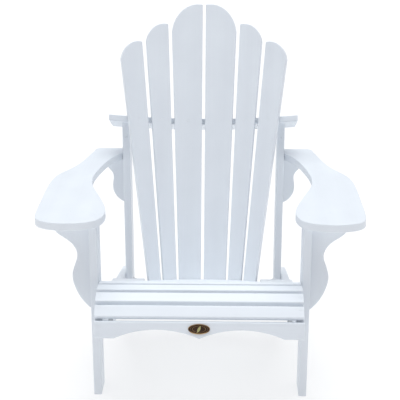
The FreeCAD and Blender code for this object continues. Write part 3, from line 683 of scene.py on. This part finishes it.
@dataclass
class Badge:
    """Oval badge on the apron: enamel field, brass rim, a ring of beads and a plain leaf."""

    finishes: Finishes
    segments: int = 72
    rim_wide: float = 0.0015
    field_sunk: float = 0.0011
    edge_ease: float = 0.00035
    ease_segments: int = 3
    sharp_angle: float = math.radians(45.0)
    dome_rings: int = 24
    dome_rise: float = 0.55
    beads: int = 40
    bead_radius: float = 0.00060
    bead_ring: float = 0.79
    bead_sunk: float = 0.75
    bead_smooth_under: float = math.radians(80.0)
    band_ring: float = 0.62
    band_wide: float = 0.045
    band_proud: float = 0.0004
    leaf_long: float = 0.0180
    leaf_wide: float = 0.0112
    leaf_proud: float = 0.0010
    leaf_segments: int = 28
    leaf_rings: int = 12
    leaf_turn: float = math.radians(-28.0)
    leaf_taper: float = 0.55
    leaf_taper_power: float = 1.5
    leaf_fall: float = 0.35
    rib_segments: int = 10
    rib_foot: float = 0.0007
    rib_tip: float = 0.0003
    rib_long: float = 1.12
    rib_back: float = 0.06
    rib_proud: float = 0.75
    lean: float = math.radians(18.5)
    deep: float = 0.0027
    centre: Vector = field(init=False)
    half_long: float = field(init=False)
    half_tall: float = field(init=False)

    def build(self) -> None:
        """Build the badge from the box of its leaning plate."""
        low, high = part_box("badge_plate")
        self.centre = (low + high) / 2
        self.half_long = (high.x - low.x) / 2
        face_rise = high.z - low.z - self.deep * math.sin(self.lean)
        self.half_tall = face_rise / (2 * math.cos(self.lean))
        rim = self.make_rim()
        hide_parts("badge_plate")
        self.make_field()
        self.make_beads()
        self.make_band()
        self.make_leaf()

    def facing(self, above: float) -> Matrix:
        """Placement that lays a shape drawn in XY on the badge, at a height above its back."""
        turn = Matrix.Rotation(RIGHT_ANGLE - self.lean, 4, "X")
        lift = Matrix.Translation((0.0, 0.0, above - self.deep / 2))
        return Matrix.Translation(self.centre) @ turn @ lift

    def make_rim(self) -> bpy.types.Object:
        """Make the brass back plate with its raised rim.

        Returns:
            The rim piece.
        """
        work = bmesh.new()
        circle = bmesh.ops.create_circle(work, cap_ends=True, segments=self.segments, radius=1.0)
        bmesh.ops.scale(work, vec=(self.half_long, self.half_tall, 1.0), verts=circle["verts"])
        grown = bmesh.ops.extrude_face_region(work, geom=work.faces[:])
        top_verts = [item for item in grown["geom"] if isinstance(item, bmesh.types.BMVert)]
        top = [item for item in grown["geom"] if isinstance(item, bmesh.types.BMFace)]
        bmesh.ops.translate(work, vec=(0.0, 0.0, self.deep), verts=top_verts)
        bmesh.ops.recalc_face_normals(work, faces=work.faces[:])
        bmesh.ops.inset_region(work, faces=top, thickness=self.rim_wide, depth=0.0,
                               use_even_offset=True)
        bmesh.ops.translate(work, vec=(0.0, 0.0, -self.field_sunk), verts=list(top[0].verts))
        ring = [
            edge for edge in work.edges
            if len(edge.link_faces) == 2 and edge.calc_face_angle(0.0) > self.sharp_angle
            and all(vert.co.z > self.deep - self.edge_ease for vert in edge.verts)
        ]
        round_edges(work, ring, self.edge_ease, self.ease_segments)
        bmesh.ops.transform(work, matrix=self.facing(0.0), verts=work.verts[:])
        return finish_piece("badge_rim", work, self.finishes.brass_rim)

    def make_field(self) -> None:
        """Make the low dome of dark enamel inside the rim."""
        work = bmesh.new()
        reach = (self.half_long - self.rim_wide, self.half_tall - self.rim_wide,
                 self.field_sunk * self.dome_rise)
        dome = bmesh.ops.create_uvsphere(work, u_segments=self.segments,
                                         v_segments=self.dome_rings, radius=1.0)
        bmesh.ops.scale(work, vec=reach, verts=dome["verts"])
        keep_upper(work)
        rim_edges = [edge for edge in work.edges if edge.is_boundary]
        bmesh.ops.contextual_create(work, geom=rim_edges)
        bmesh.ops.transform(work, matrix=self.facing(self.deep - self.field_sunk),
                            verts=work.verts[:])
        finish_piece("badge_field", work, self.finishes.enamel)

    def make_beads(self) -> None:
        """Make the ring of small brass beads inside the rim."""
        work = bmesh.new()
        for number in range(self.beads):
            turn = 2.0 * math.pi * (number + 0.5) / self.beads
            bead = bmesh.ops.create_icosphere(work, subdivisions=1, radius=self.bead_radius)
            spot = (math.cos(turn) * self.half_long * self.bead_ring,
                    math.sin(turn) * self.half_tall * self.bead_ring, 0.0)
            bmesh.ops.translate(work, vec=spot, verts=bead["verts"])
        height = self.deep - self.field_sunk * self.bead_sunk
        bmesh.ops.transform(work, matrix=self.facing(height), verts=work.verts[:])
        finish_piece("badge_beads", work, self.finishes.brass_rim,
                     self.bead_smooth_under)

    def make_band(self) -> None:
        """Make the thin raised oval line between the beads and the leaf."""
        work = bmesh.new()
        for ring in (self.band_ring, self.band_ring - self.band_wide):
            loop = bmesh.ops.create_circle(work, cap_ends=False, segments=self.segments,
                                           radius=ring)
            bmesh.ops.scale(work, vec=(self.half_long, self.half_tall, 1.0), verts=loop["verts"])
        bmesh.ops.bridge_loops(work, edges=work.edges[:])
        grown = bmesh.ops.extrude_face_region(work, geom=work.faces[:])
        top = [item for item in grown["geom"] if isinstance(item, bmesh.types.BMVert)]
        rise = self.band_proud + self.field_sunk * self.dome_rise
        bmesh.ops.translate(work, vec=(0.0, 0.0, rise), verts=top)
        bmesh.ops.transform(work, matrix=self.facing(self.deep - self.field_sunk),
                            verts=work.verts[:])
        finish_piece("badge_band", work, self.finishes.brass_rim)

    def make_leaf(self) -> None:
        """Make the raised leaf with its midrib and stalk at the middle of the badge."""
        work = bmesh.new()
        half_wide, half_long = self.leaf_wide / 2, self.leaf_long / 2
        blade = bmesh.ops.create_uvsphere(work, u_segments=self.leaf_segments,
                                          v_segments=self.leaf_rings, radius=1.0)
        bmesh.ops.scale(work, vec=(half_wide, half_long, self.leaf_proud), verts=blade["verts"])
        for vert in blade["verts"]:
            towards_tip = max(0.0, vert.co.y / half_long)
            vert.co.x *= 1.0 - self.leaf_taper * towards_tip ** self.leaf_taper_power
            vert.co.z -= self.leaf_fall * self.leaf_proud * abs(vert.co.x) / half_wide
        rib = bmesh.ops.create_cone(work, cap_ends=True, segments=self.rib_segments,
                                    radius1=self.rib_foot, radius2=self.rib_tip,
                                    depth=self.leaf_long * self.rib_long)
        bmesh.ops.rotate(work, cent=(0, 0, 0), verts=rib["verts"],
                         matrix=Matrix.Rotation(-RIGHT_ANGLE, 3, "X"))
        rib_spot = (0.0, -self.leaf_long * self.rib_back, self.leaf_proud * self.rib_proud)
        bmesh.ops.translate(work, vec=rib_spot, verts=rib["verts"])
        bmesh.ops.rotate(work, cent=(0, 0, 0), verts=work.verts[:],
                         matrix=Matrix.Rotation(self.leaf_turn, 3, "Z"))
        keep_upper(work)
        bmesh.ops.transform(work, matrix=self.facing(self.deep - self.field_sunk),
                            verts=work.verts[:])
        finish_piece("badge_leaf", work, self.finishes.gilt_leaf)


# ---------------------------------------------------------------- studio

@dataclass
class Studio:
    """Pale floor, soft light and the camera."""

    floor_reach: float = 30.0
    camera_spot: Triple = (0.0473, -2.8652, 1.440)
    camera_pitch: float = math.radians(19.4)
    camera_turn: float = math.radians(1.07)
    lens: float = 97.83
    sensor: float = 36.0
    sky: Colour = (0.92, 0.93, 1.0, 1.0)
    sky_strength: float = 0.45
    overhead_strength: float = 2.35
    overhead_colour: Triple = (0.97, 1.0, 1.0)
    overhead_spread: float = math.radians(70.0)
    overhead_tilt: float = math.radians(-6.0)
    front_spot: Triple = (-2.6, -3.4, 2.6)
    front_turn: Triple = (math.radians(62.0), 0.0, math.radians(-37.0))
    front_wide: float = 2.4
    front_power: float = 5.0
    view_transform: str = "Standard"

    def build(self) -> None:
        """Build the studio."""
        self.make_floor()
        self.make_sky()
        self.add_overhead()
        self.add_front_left()
        self.make_camera()
        bpy.context.scene.view_settings.view_transform = self.view_transform

    def make_floor(self) -> None:
        """Lay the floor."""
        work = bmesh.new()
        bmesh.ops.create_grid(work, x_segments=4, y_segments=4, size=self.floor_reach)
        mesh = bpy.data.meshes.new("studio_floor")
        work.to_mesh(mesh)
        work.free()
        mesh.materials.append(FloorPaint().dress("studio_floor"))
        floor = bpy.data.objects.new("studio_floor", mesh)
        bpy.context.scene.collection.objects.link(floor)

    def make_sky(self) -> None:
        """Fill the world with even pale light."""
        world = bpy.data.worlds.new("studio_sky")
        world.use_nodes = True
        background = world.node_tree.nodes["Background"]
        background.inputs["Color"].default_value = self.sky
        background.inputs["Strength"].default_value = self.sky_strength
        bpy.context.scene.world = world

    def add_overhead(self) -> None:
        """Hang a very broad light straight over the chair, a little to the front."""
        lamp = bpy.data.lights.new("overhead", "SUN")
        lamp.energy = self.overhead_strength
        lamp.color = self.overhead_colour
        lamp.angle = self.overhead_spread
        holder = bpy.data.objects.new("overhead", lamp)
        holder.rotation_euler = (self.overhead_tilt, 0.0, 0.0)
        bpy.context.scene.collection.objects.link(holder)

    def add_front_left(self) -> None:
        """Hang a square soft light before the chair, on its left as seen from the front."""
        lamp = bpy.data.lights.new("front_left", "AREA")
        lamp.size = self.front_wide
        lamp.energy = self.front_power
        holder = bpy.data.objects.new("front_left", lamp)
        holder.location = self.front_spot
        holder.rotation_euler = self.front_turn
        bpy.context.scene.collection.objects.link(holder)

    def make_camera(self) -> None:
        """Stand the camera before the chair."""
        data = bpy.data.cameras.new("camera")
        data.lens = self.lens
        data.sensor_width = self.sensor
        camera = bpy.data.objects.new("camera", data)
        camera.location = self.camera_spot
        camera.rotation_euler = (RIGHT_ANGLE - self.camera_pitch, 0.0, self.camera_turn)
        bpy.context.scene.collection.objects.link(camera)
        bpy.context.scene.camera = camera


def corners(box: tuple[Vector, Vector]) -> list[list[float]]:
    """Plain lists of numbers for a box."""
    return [[float(number) for number in corner] for corner in box]


def main() -> None:
    """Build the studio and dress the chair."""
    logging.basicConfig(level=logging.INFO, format="%(message)s")
    Studio().build()
    finishes = Finishes()
    Seat(finishes).build()
    Back(finishes).build()
    ArmsAndLegs(finishes).build()
    Fasteners(finishes).build()
    Badge(finishes).build()


if __name__ == "__main__":
    main()
